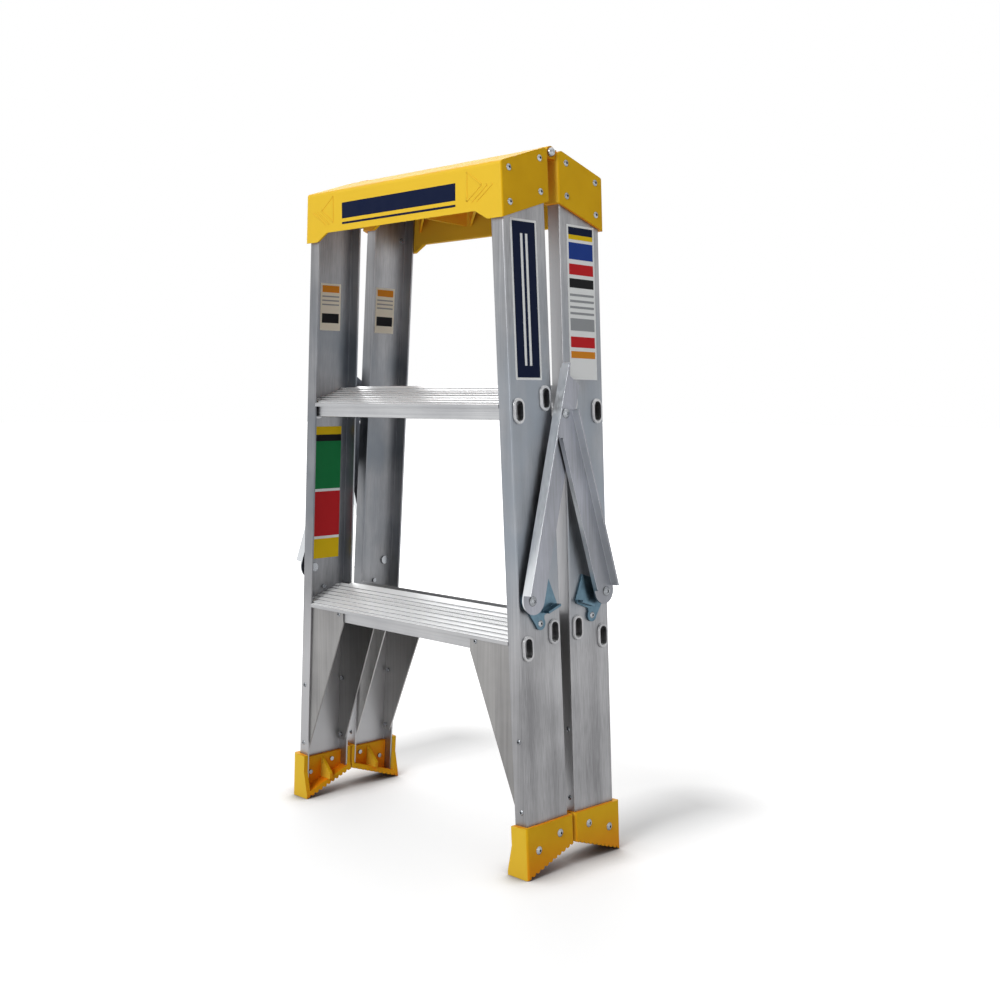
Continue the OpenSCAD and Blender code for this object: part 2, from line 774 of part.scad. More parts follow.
module rear_arm(s) {
  shoulder = 14;
  bead_h = 5;
  color(bright_alu) side(s) difference() {
    on_arm("rear") {
      along_x(outer_arm_off, outer_arm_off + arm_t) {
        arm_end(arm_nest);
        translate([0, arm_len]) circle(arm_nest);
        polygon([
          [-arm_nest, arm_end_z], [-arm_nest, arm_len], [arm_nest, arm_len],
          [arm_low, arm_len - shoulder], [arm_low, arm_end_z]
        ]);
      }
      translate([outer_arm_off + arm_t - join, -arm_nest, arm_flange_z])
        cube([arm_flange_h - join, arm_flange_t, arm_len - arm_flange_z]);
      translate([outer_arm_off + arm_t - join, arm_low - arm_t, arm_bead_z])
        cube([bead_h + join, arm_t, arm_len - 2 * shoulder - arm_bead_z]);
    }
    pin_hole(pivot_y, pivot_z, hole_play);
    pin_hole(0, joint_z, run_play);
  }
}

// Turned pin along X from a plate's outer face at x = 0
module turned_pin(x0, x1) {
  translate([x0, 0, 0]) rotate([0, 90, 0]) cylinder(r = pin_r, h = x1 - x0 + join);
  translate([x1, 0, 0]) rotate([0, 90, 0]) difference() {
    dome(pin_head_r, pin_head_h);
    translate([0, 0, pin_head_h - pin_dimple_d]) cylinder(r = pin_dimple_r, h = pin_head_h);
  }
}

module pin_collar(x0, x1) {
  translate([x0, 0, 0]) rotate([0, 90, 0]) cylinder(r = pin_head_r, h = x1 - x0);
}

// Front pivots turn in the front arms and are riveted through bracket and web
module front_pivot_pins() {
  color(steel) half("front") both_sides()
    translate([web_x(pivot_lz), pivot_ly, pivot_lz]) {
      turned_pin(-stile_wall - pin_slant - tail_t / 2, arm_off + arm_t + pin_slant);
      pin_collar(bracket_t + pin_slant, arm_off - pin_slant);
      pin_collar(-stile_wall - pin_slant - tail_t, -stile_wall - pin_slant);
    }
}

// Rear studs stop short of the rear arms
module rear_pivot_studs() {
  end = outer_arm_off - stud_gap;
  color(steel) half("rear") both_sides()
    translate([web_x(pivot_lz), pivot_ly, pivot_lz]) {
      translate([-stile_wall - pin_slant - tail_t / 2, 0, 0]) rotate([0, 90, 0])
        cylinder(r = pin_r, h = end + stile_wall + pin_slant + tail_t / 2);
      pin_collar(bracket_t + pin_slant, end);
      pin_collar(-stile_wall - pin_slant - tail_t, -stile_wall - pin_slant);
    }
}

module rear_arm_pin(s) {
  color(steel) side(s) translate([web_x(pivot_z), pivot_y, pivot_z])
    turned_pin(outer_arm_off - pin_slant, outer_arm_off + arm_t + pin_slant);
}

// Centre pins are fixed in the front arms, and the rear arms turn on them
module centre_pin(s) {
  color(steel) side(s) translate([web_x(joint_z), 0, joint_z]) {
    turned_pin(arm_off - pin_slant - tail_t / 2, outer_arm_off + arm_t + pin_slant);
    pin_collar(arm_off - pin_slant - 0.75 * tail_t, arm_off - pin_slant);
    pin_collar(arm_off + arm_t + pin_slant, outer_arm_off - pin_slant);
  }
}

module cap_rivets(h) {
  color(steel) half(h) both_sides() at_cap_rivets() translate([0, 0, fit + cap_wall])
    rivet(cap_rivet_r, cap_wall + stile_wall + 2 * fit);
}

module foot_rivets(h) {
  color(steel) half(h) both_sides() at_foot_rivets() translate([0, 0, fit + foot_wall])
    rivet(foot_rivet_r, 2 * foot_wall + stile_wall + 3 * fit);
}

module gusset_rivets(h) {
  color(steel) half(h) both_sides() for (out = [-1, 1]) {
    at_flange_rivets(out) rivet(gusset_rivet_r, stile_wall + gusset_t + 2 * fit);
    at_skirt_rivet(out) rivet(gusset_rivet_r, skirt_grip);
  }
}

module bracket_rivets(h) {
  color(steel) half(h) both_sides() at_bracket_rivet() translate([0, 0, bracket_t])
    rivet(cap_rivet_r, bracket_t + stile_wall + fit);
}

module hinge_rod() {
  reach = hinge_end_x + 2 * axial_play + washer_t + dome_seat;
  color(steel) translate([0, 0, hinge_z]) rotate([0, 90, 0])
    cylinder(r = rod_r, h = 2 * reach, center = true);
}

module hinge_washers() {
  color(steel) both_sides() translate([hinge_end_x + axial_play, 0, hinge_z]) rotate([0, 90, 0])
    difference() {
      cylinder(r = dome_r, h = washer_t);
      translate([0, 0, -join]) cylinder(r = rod_r + hole_play, h = washer_t + 2 * join);
    }
}

module hinge_domes() {
  seat_x = hinge_end_x + 2 * axial_play + washer_t;
  color(steel) both_sides() translate([seat_x, 0, hinge_z]) rotate([0, 90, 0])
    difference() {
      dome(dome_r, dome_h);
      translate([0, 0, -join]) cylinder(r = rod_r + hole_play / 2, h = dome_seat + hole_play + join);
    }
}

hinge_rod();
hinge_washers();
hinge_domes();
cap("front");  // front_cap
cap("rear");  // rear_cap
stile("front", "left");  // front_stile_left
stile("front", "right");  // front_stile_right
stile("rear", "left");  // rear_stile_left
stile("rear", "right");  // rear_stile_right
step("front", 1);  // front_step_lower
step("front", 2);  // front_step_upper
step("rear", 1);  // rear_step_lower
step("rear", 2);  // rear_step_upper
foot("front", "left");  // front_foot_left
foot("front", "right");  // front_foot_right
foot("rear", "left");  // rear_foot_left
foot("rear", "right");  // rear_foot_right
gusset("front", -1, "left");  // front_outer_gusset_left
gusset("front", -1, "right");  // front_outer_gusset_right
gusset("front", 1, "left");  // front_inner_gusset_left
gusset("front", 1, "right");  // front_inner_gusset_right
gusset("rear", -1, "left");  // rear_outer_gusset_left
gusset("rear", -1, "right");  // rear_outer_gusset_right
gusset("rear", 1, "left");  // rear_inner_gusset_left
gusset("rear", 1, "right");  // rear_inner_gusset_right
bracket("front", "left");  // front_bracket_left
bracket("front", "right");  // front_bracket_right
bracket("rear", "left");  // rear_bracket_left
bracket("rear", "right");  // rear_bracket_right
cap_rivets("front");  // front_cap_rivets
cap_rivets("rear");  // rear_cap_rivets
foot_rivets("front");  // front_foot_rivets
foot_rivets("rear");  // rear_foot_rivets
gusset_rivets("front");  // front_gusset_rivets
gusset_rivets("rear");  // rear_gusset_rivets
bracket_rivets("front");  // front_bracket_rivets
bracket_rivets("rear");  // rear_bracket_rivets
front_pivot_pins();
rear_pivot_studs();
front_arm("left");  // front_arm_left
front_arm("right");  // front_arm_right
rear_arm("left");  // rear_arm_left
rear_arm("right");  // rear_arm_right
centre_pin("left");  // centre_pin_left
centre_pin("right");  // centre_pin_right
rear_arm_pin("left");  // rear_arm_pin_left
rear_arm_pin("right");  // rear_arm_pin_right
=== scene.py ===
# %% [markdown]
# # Folded trestle ladder
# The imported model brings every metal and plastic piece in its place. This script gives the pieces
# their materials, adds the grip teeth, the raised lines and the coloured panels, and lights the
# ladder on a white floor. X runs along the treads, Y from front to rear and Z up, in metres.

# %% Load the frame
import math

import bmesh
import bpy
from mathutils import Matrix, Vector


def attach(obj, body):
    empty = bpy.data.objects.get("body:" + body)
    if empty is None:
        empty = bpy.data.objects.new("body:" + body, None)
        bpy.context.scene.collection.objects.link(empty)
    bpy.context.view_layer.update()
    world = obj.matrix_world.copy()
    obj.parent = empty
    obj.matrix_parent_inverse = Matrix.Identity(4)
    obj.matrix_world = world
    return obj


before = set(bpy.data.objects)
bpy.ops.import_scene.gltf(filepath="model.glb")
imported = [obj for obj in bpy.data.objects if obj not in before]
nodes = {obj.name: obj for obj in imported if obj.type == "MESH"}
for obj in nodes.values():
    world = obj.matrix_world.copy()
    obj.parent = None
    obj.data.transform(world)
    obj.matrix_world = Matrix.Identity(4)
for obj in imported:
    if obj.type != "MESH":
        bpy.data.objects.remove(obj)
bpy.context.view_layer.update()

print("pieces in the frame:", len(nodes))

# %% [markdown]
# ## Frames of the ladder
# The halves lean towards each other, the stiles lean inward and the treads slope, so hardly any
# face of the ladder is square to the axes. A piece on such a face could be placed by eye. Here one
# matrix for each kind of face carries it there, from the sizes that the solids were drawn with, and
# the rear half is the front half's mirror image.

# %% Places on the ladder
HINGE_Z = 0.923
CLOSED_LEAN = math.radians(0.5)
STILE_LEAN = math.radians(3.25)
TREAD_TILT = math.radians(18)
BASE_HALF_W = 0.247
NOSING_Y = -0.0915
TREAD_PITCH = 0.3
APRON_Y = -0.0955
MIRROR_X = Matrix.Diagonal((-1, 1, 1, 1))
MIRROR_Y = Matrix.Diagonal((1, -1, 1, 1))


def half_frame(half):
    """Turns a point of the front half's own frame to where it stands, in either half."""
    up = Matrix.Translation((0, 0, HINGE_Z))
    lean = up @ Matrix.Rotation(CLOSED_LEAN, 4, "X") @ up.inverted()
    return MIRROR_Y @ lean if half == "rear" else lean


def web_frame(half, side):
    """Frame on the outer face of a stile: X out of the web, Y along its depth, Z up the stile."""
    web = Matrix.Translation((BASE_HALF_W, 0, 0)) @ Matrix.Rotation(-STILE_LEAN, 4, "Y")
    return half_frame(half) @ (MIRROR_X @ web if side == "left" else web)


def tread_frame(half, step):
    """Frame at the middle of a tread's nosing: X along the tread, Y along its depth, Z off its face."""
    nosing = Matrix.Translation((0, NOSING_Y, step * TREAD_PITCH))
    return half_frame(half) @ nosing @ Matrix.Rotation(TREAD_TILT, 4, "X")


print("hinge axis at", HINGE_Z, "m, treads", TREAD_PITCH, "m apart")

# %% [markdown]
# ## Tools for materials
# A material is a tree of nodes, which could be put together by hand in the shader editor. In a
# script the same steps come back for every node, so one function adds a node with its settings and
# links. Colours are written as sRGB codes, as a paint program shows them, and one function turns
# them into the linear light that the renderer works with.

# %% Colour and node helpers
def linear(code):
    """Linear RGBA of an sRGB colour such as #f2b31b."""
    parts = [int(code[k:k + 2], 16) / 255 for k in (1, 3, 5)]
    return (*[c / 12.92 if c <= 0.04045 else ((c + 0.055) / 1.055) ** 2.4 for c in parts], 1.0)


def add(tree, kind, inputs=(), **settings):
    """Adds a node. Its inputs, in socket order or by name, are values or sockets to link from."""
    made = tree.nodes.new(kind)
    for name, value in settings.items():
        setattr(made, name, value)
    for key, value in inputs.items() if isinstance(inputs, dict) else enumerate(inputs):
        if isinstance(value, bpy.types.NodeSocket):
            tree.links.new(value, made.inputs[key])
        else:
            made.inputs[key].default_value = value
    return made


def surface(name, colour, metallic, roughness):
    """A material whose even values sit on the shader's own sockets."""
    made = bpy.data.materials.new(name)
    made.use_nodes = True
    shader = made.node_tree.nodes["Principled BSDF"]
    shader.inputs["Base Color"].default_value = linear(colour)
    shader.inputs["Metallic"].default_value = metallic
    shader.inputs["Roughness"].default_value = roughness
    return made, made.node_tree, shader


print("middle grey in linear light:", round(linear("#808080")[0], 3))

# %% Patterns, coats and relief
MM = 0.001
# The colour sockets of a Mix node come after those for numbers and vectors
MIX_A, MIX_B, MIX_RESULT = 6, 7, 2
EDGE_SAMPLES = 6


def pattern(tree, size_mm, turn=0.0, detail=4.0):
    """Noise with marks of this size in millimetres along each axis, in object space."""
    place = add(tree, "ShaderNodeTexCoord").outputs["Object"]
    per_metre = [1 / (mm * MM) for mm in size_mm]
    spread = add(tree, "ShaderNodeMapping", {
        "Vector": place, "Rotation": (0, turn, 0), "Scale": per_metre,
    }).outputs["Vector"]
    noise = add(tree, "ShaderNodeTexNoise", {"Vector": spread, "Scale": 1.0, "Detail": detail})
    return noise.outputs["Fac"]


def coat(material, factor, colour):
    """Lays a colour over what the material shows so far, by a factor from 0 to 1."""
    tree = material.node_tree
    base = tree.nodes["Principled BSDF"].inputs["Base Color"]
    below = base.links[0].from_socket if base.links else base.default_value
    layers = {"Factor": factor, MIX_A: below, MIX_B: linear(colour)}
    mix = add(tree, "ShaderNodeMix", layers, data_type="RGBA")
    tree.links.new(mix.outputs[MIX_RESULT], base)


def relief(tree, shader, fac, height, edge):
    """Fine relief of a height in metres, on edges softened by a radius in metres."""
    soft = add(tree, "ShaderNodeBevel", {"Radius": edge}, samples=EDGE_SAMPLES).outputs["Normal"]
    bump = add(tree, "ShaderNodeBump", {"Height": fac, "Distance": height, "Normal": soft})
    tree.links.new(bump.outputs["Normal"], shader.inputs["Normal"])


print("ready to mix and coat, with", EDGE_SAMPLES, "samples on each edge")

# %% [markdown]
# ## Metals
# Stiles and treads are extruded aluminium, gussets and arms are rolled sheet, brackets and rivets
# are plated steel. Drawing and rolling leave long fine streaks, under broader bands and clouds. A
# picture wrapped round the pieces could show them. Noise that is stretched along the drawing
# direction needs no picture, follows every lean and stays sharp from near.

# %% Metal with streaks
# Bands are so many times as wide and as long as streaks, and marks over LONG_MM lie lengthwise
BAND_WIDER = 18
BAND_LONGER = 4
LONG_MM = 50
CLOUD_MM = (90.9, 90.9, 90.9)
# Noise keeps to the middle of its range: the useful ends of one layer, and of three added up
ONE_LAYER = (0.3, 0.7)
THREE_LAYERS = (1.15, 1.85)
SMOOTHER = 0.06
ROUGHER = 0.08
STREAK_DEPTH = 0.06 * MM
METAL_EDGE = 0.6 * MM


def drawn_metal(name, dark, light, rough, streak_mm, turn=0.0):
    """Light metal with dark streaks: narrow across the drawing direction and long along it."""
    made, tree, shader = surface(name, light, 1.0, rough)
    band_mm = [mm * (BAND_LONGER if mm > LONG_MM else BAND_WIDER) for mm in streak_mm]
    streak = pattern(tree, streak_mm, turn)
    band = pattern(tree, band_mm, turn, detail=2.0)
    cloud = pattern(tree, CLOUD_MM)
    total = add(tree, "ShaderNodeMath", (streak, band), operation="ADD").outputs["Value"]
    total = add(tree, "ShaderNodeMath", (total, cloud), operation="ADD").outputs["Value"]
    dull = add(tree, "ShaderNodeMapRange", (total, *THREE_LAYERS, 1.0, 0.0)).outputs["Result"]
    coat(made, dull, dark)
    uneven = (streak, *ONE_LAYER, rough - SMOOTHER, rough + ROUGHER)
    uneven = add(tree, "ShaderNodeMapRange", uneven).outputs["Result"]
    tree.links.new(uneven, shader.inputs["Roughness"])
    relief(tree, shader, streak, STREAK_DEPTH, METAL_EDGE)
    return made


print("streaks", STREAK_DEPTH / MM, "mm deep")

# %% [markdown]
# ## Painted light and wear
# Faces that look up or forward are painted paler as a painted highlight, and the tread tops also for
# the wear of shoes. The lower ends of the left stiles are painted paler as light bounced from the floor,
# and at mid height the stiles get cool patches of painted reflection, darker on the left as painted
# shade. Masks could be painted by hand on each piece. A mask from the way that a face looks, or from
# its height, fits all pieces at once and needs no texture map.

# %% Painted highlights, floor bounce and cool reflections
# Cosines at which a face begins to look that way, and at which it fully does
FACING = (0.7, 0.9)
MOST_HIGHLIGHT = 0.9
# Heights in metres between which the painted floor bounce ends, and the painted cool reflections come and
# go
BOUNCE_ENDS = (0.22, 0.32)
MOST_BOUNCE = 0.85
COOL_COMES = (0.28, 0.42)
COOL_GOES = (0.68, 0.82)
PATCH_MM = (62.5, 62.5, 111.1)
PATCH_NOISE = (0.36, 0.62)
PATCH_STRENGTH = (0.25, 0.85)


def painted_highlight_face(material, colour, towards):
    """Lays a paler colour on the faces that look one way, as a painted highlight, and returns how much of
    it lies where.
    """
    tree = material.node_tree
    normal = add(tree, "ShaderNodeNewGeometry").outputs["Normal"]
    facing = add(tree, "ShaderNodeVectorMath", (normal, towards), operation="DOT_PRODUCT").outputs["Value"]
    highlight_share = add(tree, "ShaderNodeMapRange", (facing, *FACING, 0.0, MOST_HIGHLIGHT)).outputs["Result"]
    coat(material, highlight_share, colour)
    return highlight_share


def height_in(tree):
    """Height above the floor, in metres."""
    place = add(tree, "ShaderNodeTexCoord").outputs["Object"]
    return add(tree, "ShaderNodeSeparateXYZ", (place,)).outputs["Z"]


def painted_floor_bounce(material, colour):
    """Another colour below the lower tread: paler, as painted light bounced up from the floor."""
    tree = material.node_tree
    bounce_share = (height_in(tree), *BOUNCE_ENDS, MOST_BOUNCE, 0.0)
    coat(material, add(tree, "ShaderNodeMapRange", bounce_share).outputs["Result"], colour)


def painted_reflection_and_shade(material, colour):
    """A cooler colour in patches at mid height: a painted reflection of a cool room, and painted shade
    where the colour is darker.
    """
    tree = material.node_tree
    height = height_in(tree)
    above = add(tree, "ShaderNodeMapRange", (height, *COOL_COMES, 0.0, 1.0)).outputs["Result"]
    below = add(tree, "ShaderNodeMapRange", (height, *COOL_GOES, 1.0, 0.0)).outputs["Result"]
    patch = (pattern(tree, PATCH_MM, detail=3.0), *PATCH_NOISE, *PATCH_STRENGTH)
    patch = add(tree, "ShaderNodeMapRange", patch).outputs["Result"]
    middle = add(tree, "ShaderNodeMath", (above, below), operation="MULTIPLY").outputs["Value"]
    cool = add(tree, "ShaderNodeMath", (middle, patch), operation="MULTIPLY").outputs["Value"]
    coat(material, cool, colour)


print("cool patches from", COOL_COMES[0], "to", COOL_GOES[1], "m up")

# %% [markdown]
# ## Stiles
# The four stiles are drawn channels that are left as they came from the mill. One material for all
# of them would be simplest. But the left and the right ones lean opposite ways, and so do their
# streaks, so each stile has a material of its own, turned by its lean and with its own painted light
# and shade.

# %% Stiles
# Mill-finish extruded aluminium: a grey sheen in lines up the stile. The real lines are finer, and
# these are as coarse as they need to be to show
STILE_STREAK_MM = (1.25, 1.25, 200)
STILE_ROUGH = 0.42
HALVES = ("front", "rear")
FORWARD = (0, -1, 0)
stile_metal = {}
for half in HALVES:
    right = drawn_metal(
        f"mill aluminium, {half} right stile", "#757577", "#9e9ea0",
        STILE_ROUGH, STILE_STREAK_MM, STILE_LEAN,
    )
    # Cool patches at mid height: a painted reflection
    painted_reflection_and_shade(right, "#80878f")
    left = drawn_metal(
        f"mill aluminium, {half} left stile", "#78787a", "#a1a1a3",
        STILE_ROUGH, STILE_STREAK_MM, -STILE_LEAN,
    )
    # Paler lower ends: painted light bounced up from the floor
    painted_floor_bounce(left, "#a9a9ab")
    # Darker cool patches at mid height: painted shade and painted reflection
    painted_reflection_and_shade(left, "#646a71")
    stile_metal[f"{half}_stile_right"] = right
    stile_metal[f"{half}_stile_left"] = left
# The flange that the front half covers is painted paler, as painted light in the shade between the halves
painted_highlight_face(stile_metal["rear_stile_right"], "#a4a4a6", FORWARD)
print("stile metals:", len(stile_metal))

# %% [markdown]
# ## Treads
# The treads are extruded with ribs along them, in a satin finish that shoes rub paler on top.
# Top and sides could have two materials, chosen face by face. Here one material finds the top by the
# way that it faces, makes it nearly white, partly for that wear and partly as a painted highlight, and
# makes it mirror less, as rubbed metal does.

# %% Treads
# Extruded aluminium, satin: lines along the tread, and a top made nearly white by wear and a painted
# highlight
TREAD_STREAK_MM = (200, 1.111, 1.111)
UPWARD = (0, 0, 1)


def tread_aluminium(name, dark, light, rough, metallic_top):
    """Satin aluminium that is paler and a little chalky on top, partly from wear and partly as a painted
    highlight.
    """
    made = drawn_metal(name, dark, light, rough, TREAD_STREAK_MM)
    highlight_share = painted_highlight_face(made, "#f6f7f8", UPWARD)
    tree = made.node_tree
    chalky = add(tree, "ShaderNodeMapRange", (highlight_share, 0.0, MOST_HIGHLIGHT, 1.0, metallic_top))
    tree.links.new(chalky.outputs["Result"], tree.nodes["Principled BSDF"].inputs["Metallic"])
    return made


# The lower treads are walked on more, so they are rougher. The upper treads are paler in colour,
# as painted light where the caps above shade them
tread_metal = {
    "lower": tread_aluminium(
        "satin aluminium, lower treads", "#909194", "#adadae", rough=0.42, metallic_top=0.2,
    ),
    "upper": tread_aluminium(
        "satin aluminium, upper treads", "#9c9da0", "#bbbcbd", rough=0.33, metallic_top=0.5,
    ),
}
print("tread metals:", len(tread_metal))

# %% [markdown]
# ## Small metal pieces
# Gussets are cut from rolled sheet, arms are pressed, brackets are zinc plated, and rivets and pins
# are bright. All could be one grey, but the eye tells such metals apart by hue and gloss. The same
# function makes them, with other colours, another roughness and marks of another size.

# %% Gussets, arms, brackets and rivets
# Rolled aluminium sheet of the gussets: soft grey with faint broad lines, and a paler copy on the rear
# half as painted light
SHEET = {"rough": 0.42, "streak_mm": (3.333, 3.333, 166.7)}
sheet_metal = drawn_metal("rolled aluminium sheet", "#7a7979", "#999897", **SHEET)
rear_sheet_painted_light = drawn_metal("rolled aluminium sheet, rear", "#9c9b9a", "#bfbebd", **SHEET)
# Pressed aluminium of the arms: a little cooler and glossier, with front faces painted bright as a painted
# highlight
arm_metal = drawn_metal(
    "pressed aluminium", "#797b80", "#9698a0", rough=0.38, streak_mm=(2.857, 2.857, 166.7),
)
painted_highlight_face(arm_metal, "#dadde0", FORWARD)
# Blue-passivated zinc on steel: a cool, mottled blue grey
zinc = drawn_metal(
    "zinc plated steel", "#425663", "#5f7886", rough=0.32, streak_mm=(8.333, 8.333, 8.333),
)
# Bright steel of rivets and pins: small clear highlights
bright_steel = drawn_metal(
    "bright steel", "#7c7f83", "#a3a6aa", rough=0.22, streak_mm=(5, 5, 5),
)
others = (sheet_metal, rear_sheet_painted_light, arm_metal, zinc, bright_steel)
print("other metals:", [metal.name for metal in others])

# %% [markdown]
# ## Yellow plastic
# The caps and feet are moulded in safety yellow. The mould gives them a fine grain, and inside their
# hollows the light bounces from yellow to yellow and comes back deeper. More light bounces would
# show that only in part, so the share of open sky above a point mixes in the deeper colour.

# %% Yellow plastic
# Moulded polypropylene: even, hardly glossy, with a grain that only takes the edge off highlights
GRAIN_MM = (0.714, 0.714, 0.714)
GRAIN_DEPTH = 0.05 * MM
PLASTIC_EDGE = 1 * MM
PLASTIC_CLOUD_MM = (71.4, 71.4, 71.4)
PLASTIC_CLOUD_NOISE = (0.35, 0.65)
PLASTIC_ROUGH = 0.52
PLASTIC_GLOSS = 0.1
# How far the walls of a hollow count, in metres, and the shares of open sky from inside to outside
HOLLOW_REACH = 0.1
HOLLOW_SKY = (0.45, 0.85)
HOLLOW_SAMPLES = 8


def moulded(name, dark, light, inside):
    """Plastic with faint clouds, a fine grain and a deeper colour in its hollows."""
    made, tree, shader = surface(name, light, 0.0, PLASTIC_ROUGH)
    shader.inputs["Specular IOR Level"].default_value = PLASTIC_GLOSS
    cloud = (pattern(tree, PLASTIC_CLOUD_MM, detail=3.0), *PLASTIC_CLOUD_NOISE, 1.0, 0.0)
    coat(made, add(tree, "ShaderNodeMapRange", cloud).outputs["Result"], dark)
    relief(tree, shader, pattern(tree, GRAIN_MM, detail=2.0), GRAIN_DEPTH, PLASTIC_EDGE)
    reach = {"Distance": HOLLOW_REACH}
    sky = add(tree, "ShaderNodeAmbientOcclusion", reach, samples=HOLLOW_SAMPLES).outputs["AO"]
    hollow = add(tree, "ShaderNodeMapRange", (sky, *HOLLOW_SKY, 1.0, 0.0)).outputs["Result"]
    coat(made, hollow, inside)
    return made


yellow = moulded("yellow polypropylene", "#d7a40e", "#e1b015", "#e8850d")
# Aprons and toes are painted paler in front, as a painted sheen
painted_highlight_face(yellow, "#dfb935", FORWARD)
print("plastic made:", yellow.name)

# %% [markdown]
# ## Coloured film
# The panels are thin vinyl film in flat colours. One picture could carry a whole panel. Each field
# is a thin solid of its own here, so a plain material for each ink is enough, and its edges stay
# clean however near the camera comes.

# %% Coloured film
# Vinyl film with one flat ink for each field: smooth and nearly matt, with a slightly uneven gloss
FADE_MM = (16.7, 16.7, 16.7)
FILM_GLOSS = 0.06
FILM_ROUGH = (0.45, 0.6)
FILM_EVEN_ROUGH = 0.5


def film(name, colour):
    """Film of one colour with an uneven gloss."""
    made, tree, shader = surface(name, colour, 0.0, FILM_EVEN_ROUGH)
    shader.inputs["Specular IOR Level"].default_value = FILM_GLOSS
    fade = (pattern(tree, FADE_MM, detail=2.0), *ONE_LAYER, *FILM_ROUGH)
    fade = add(tree, "ShaderNodeMapRange", fade).outputs["Result"]
    tree.links.new(fade, shader.inputs["Roughness"])
    return made


inks = {
    "navy": film("navy print", "#0c1631"),
    "white": film("white film", "#eef0f0"),
    "cream": film("cream film", "#e9e3d2"),
    "orange": film("orange print", "#d98a2b"),
    "blue": film("blue print", "#24408c"),
    "red": film("red print", "#c4282d"),
    "green": film("green print", "#1f7a45"),
    "black": film("black print", "#1c1c1e"),
    "yellow": film("yellow print", "#e8c21c"),
    "grey": film("grey print", "#9a9da0"),
}
print("inks:", len(inks))

# %% [markdown]
# ## Paint the pieces
# Each piece of the frame comes with its mesh and its material slots. A new material could go on the
# mesh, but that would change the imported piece. A slot that is linked to the object takes the
# material instead, and the mesh stays as it was.

# %% Paint
def finish_of(name):
    """The material of a piece, by its name."""
    if "rivets" in name or "pin" in name or "stud" in name or name.startswith("hinge"):
        return bright_steel
    if name.endswith("_cap") or "_foot_" in name:
        return yellow
    if "_stile_" in name:
        return stile_metal[name]
    if "_step_" in name:
        return tread_metal[name.split("_")[-1]]
    if "_bracket_" in name:
        return zinc
    if "_arm_" in name:
        return arm_metal
    return rear_sheet_painted_light if name.startswith("rear") else sheet_metal


for name, piece in nodes.items():
    for slot in piece.material_slots:
        slot.link = "OBJECT"
        slot.material = finish_of(name)
print("painted:", len(nodes))

# %% [markdown]
# ## Grip teeth
# Two ribs of each tread carry fine teeth against slipping. Hundreds of teeth could be copied one by
# one. A geometry tree with named inputs sets blocks on a grid in one go, and its sizes can be changed
# later. The result is baked to a plain mesh, moved to its place and joined to one mesh for each half.

# %% Geometry tree for rows of blocks
INPUTS = {
    "Count X": "NodeSocketInt", "Count Y": "NodeSocketInt",
    "Pitch X": "NodeSocketFloat", "Pitch Y": "NodeSocketFloat",
    "Block": "NodeSocketVector", "Material": "NodeSocketMaterial",
}


def block_rows():
    """Blocks of one size on a grid: so many along X and Y, at a pitch."""
    tree = bpy.data.node_groups.new("rows of blocks", "GeometryNodeTree")
    for name, kind in INPUTS.items():
        tree.interface.new_socket(name=name, in_out="INPUT", socket_type=kind)
    tree.interface.new_socket(name="Geometry", in_out="OUTPUT", socket_type="NodeSocketGeometry")
    given = add(tree, "NodeGroupInput").outputs
    size = {}
    for axis in "XY":
        gaps = add(tree, "ShaderNodeMath", (given[f"Count {axis}"], 1.0), operation="SUBTRACT")
        length = (gaps.outputs["Value"], given[f"Pitch {axis}"])
        size[axis] = add(tree, "ShaderNodeMath", length, operation="MULTIPLY").outputs["Value"]
    grid = add(tree, "GeometryNodeMeshGrid", {
        "Size X": size["X"], "Size Y": size["Y"],
        "Vertices X": given["Count X"], "Vertices Y": given["Count Y"],
    })
    block = add(tree, "GeometryNodeMeshCube", {"Size": given["Block"]})
    rows = add(tree, "GeometryNodeInstanceOnPoints", {
        "Points": grid.outputs["Mesh"], "Instance": block.outputs["Mesh"],
    })
    real = add(tree, "GeometryNodeRealizeInstances", {"Geometry": rows.outputs["Instances"]})
    done = add(tree, "GeometryNodeSetMaterial", {
        "Geometry": real.outputs["Geometry"], "Material": given["Material"],
    })
    add(tree, "NodeGroupOutput", {"Geometry": done.outputs["Geometry"]})
    return tree


rows_tree = block_rows()
print("tree inputs:", list(INPUTS))

# %% Bake a tree to a mesh
def baked_rows(values):
    """Runs the tree with a value for each named input and returns the plain mesh."""
    holder = bpy.data.objects.new("rows", bpy.data.meshes.new("rows"))
    bpy.context.scene.collection.objects.link(holder)
    modifier = holder.modifiers.new("rows", "NODES")
    modifier.node_group = rows_tree
    for item in rows_tree.interface.items_tree:
        if item.in_out == "INPUT":
            modifier[item.identifier] = values[item.name]
    graph = bpy.context.evaluated_depsgraph_get()
    mesh = bpy.data.meshes.new_from_object(holder.evaluated_get(graph))
    bpy.data.objects.remove(holder)
    return mesh


print("nodes in the tree:", len(rows_tree.nodes))

# %% Join meshes into one piece of a body
def piece_of(name, body, parts):
    """One object for a body, from (mesh, matrix) parts that share their materials."""
    joined = bmesh.new()
    materials = []
    for mesh, matrix in parts:
        moved = mesh.copy()
        moved.transform(matrix)
        index = {}
        for k, material in enumerate(mesh.materials):
            if material not in materials:
                materials.append(material)
            index[k] = materials.index(material)
        first = len(joined.faces)
        joined.from_mesh(moved)
        bpy.data.meshes.remove(moved)
        joined.faces.ensure_lookup_table()
        for face in joined.faces[first:]:
            face.material_index = index.get(face.material_index, 0)
    # A mirrored half comes out inside out
    bmesh.ops.recalc_face_normals(joined, faces=joined.faces)
    out = bpy.data.meshes.new(name)
    joined.to_mesh(out)
    joined.free()
    for material in materials:
        out.materials.append(material)
    made = bpy.data.objects.new(name, out)
    bpy.context.scene.collection.objects.link(made)
    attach(made, body)
    print(name, "faces:", len(out.polygons))


